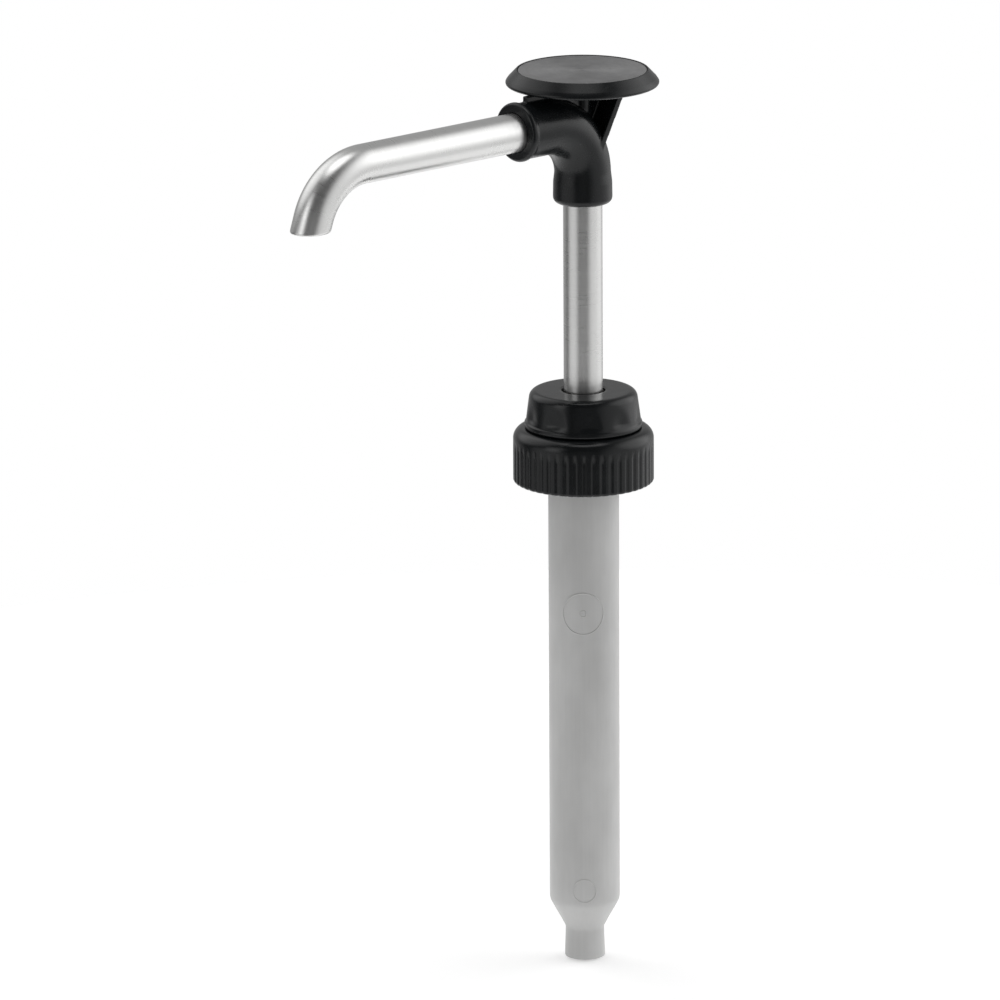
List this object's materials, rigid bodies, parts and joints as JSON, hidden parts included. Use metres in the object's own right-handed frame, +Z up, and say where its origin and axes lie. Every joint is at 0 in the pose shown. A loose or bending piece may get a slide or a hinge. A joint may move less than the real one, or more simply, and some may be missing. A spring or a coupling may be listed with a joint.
{
  "type": "condiment pump dispenser",
  "caption": "Hand pump for a wide-neck condiment jar: bent steel spout, round palm disc, ribbed screw cap, long grey cylinder with a nozzle end.",
  "frame": {"origin": "on the pump's axis, in the plane of the jar's rim, which is the underside of the jar gasket", "axes": "+Z up along the pump's axis, spout towards -Y, +X across it"},
  "size_m": [0.062, 0.1836, 0.3729],
  "materials": {
    "steel_tube": "fine circumferential brushing",
    "stainless_parts": "plain machined stainless",
    "head_plastic": "satin black moulded plastic",
    "pad_plastic": "dark grey plastic with a fine turned grain",
    "cap_plastic": "glossy black moulded plastic",
    "cylinder_plastic": "light grey satin moulded plastic",
    "natural_plastic": "natural white plastic",
    "seal_rubber": "black elastomer"
  },
  "bodies": {
    "cylinder": {"pump_cylinder": "cylinder_plastic", "cylinder_nut": "cap_plastic", "rod_guide_bushing": "natural_plastic", "rod_seal": "seal_rubber", "jar_gasket": "seal_rubber", "inlet_ball_cage": "natural_plastic", "return_spring": "stainless_parts"},
    "jar_cap": {"jar_cap": "cap_plastic"},
    "spring_washer": {"spring_thrust_washer": "stainless_parts"},
    "plunger": {"discharge_tube": "steel_tube", "pump_head": "head_plastic", "palm_disc": "head_plastic", "palm_pad": "pad_plastic", "disc_screw": "stainless_parts", "piston_body": "natural_plastic", "outlet_ball_pin": "stainless_parts", "tube_seal": "seal_rubber", "piston_guide_ring": "natural_plastic", "piston_cup_seal": "seal_rubber", "seal_retainer": "natural_plastic"},
    "inlet_ball": {"inlet_ball": "stainless_parts"},
    "outlet_ball": {"outlet_ball": "stainless_parts"}
  },
  "joints": [
    {"name": "plunger_press", "type": "slide", "parent": "cylinder", "child": "spring_washer", "axis": [0, 0, -1], "range_m": [0, 0.0602], "stiffness_N_per_m": 450, "springref_m": -0.025, "deforming": ["return_spring"]},
    {"name": "head_swivel", "type": "hinge", "parent": "spring_washer", "child": "plunger", "pos_m": [0, 0, 0.1], "axis": [0, 0, 1], "continuous": true},
    {"name": "cap_turn", "type": "hinge", "parent": "cylinder", "child": "jar_cap", "pos_m": [0, 0, 0], "axis": [0, 0, 1], "continuous": true},
    {"name": "inlet_ball_lift", "type": "slide", "parent": "cylinder", "child": "inlet_ball", "axis": [0, 0, 1], "range_m": [0, 0.003]},
    {"name": "outlet_ball_lift", "type": "slide", "parent": "plunger", "child": "outlet_ball", "axis": [0, 0, 1], "range_m": [0, 0.003]}
  ]
}
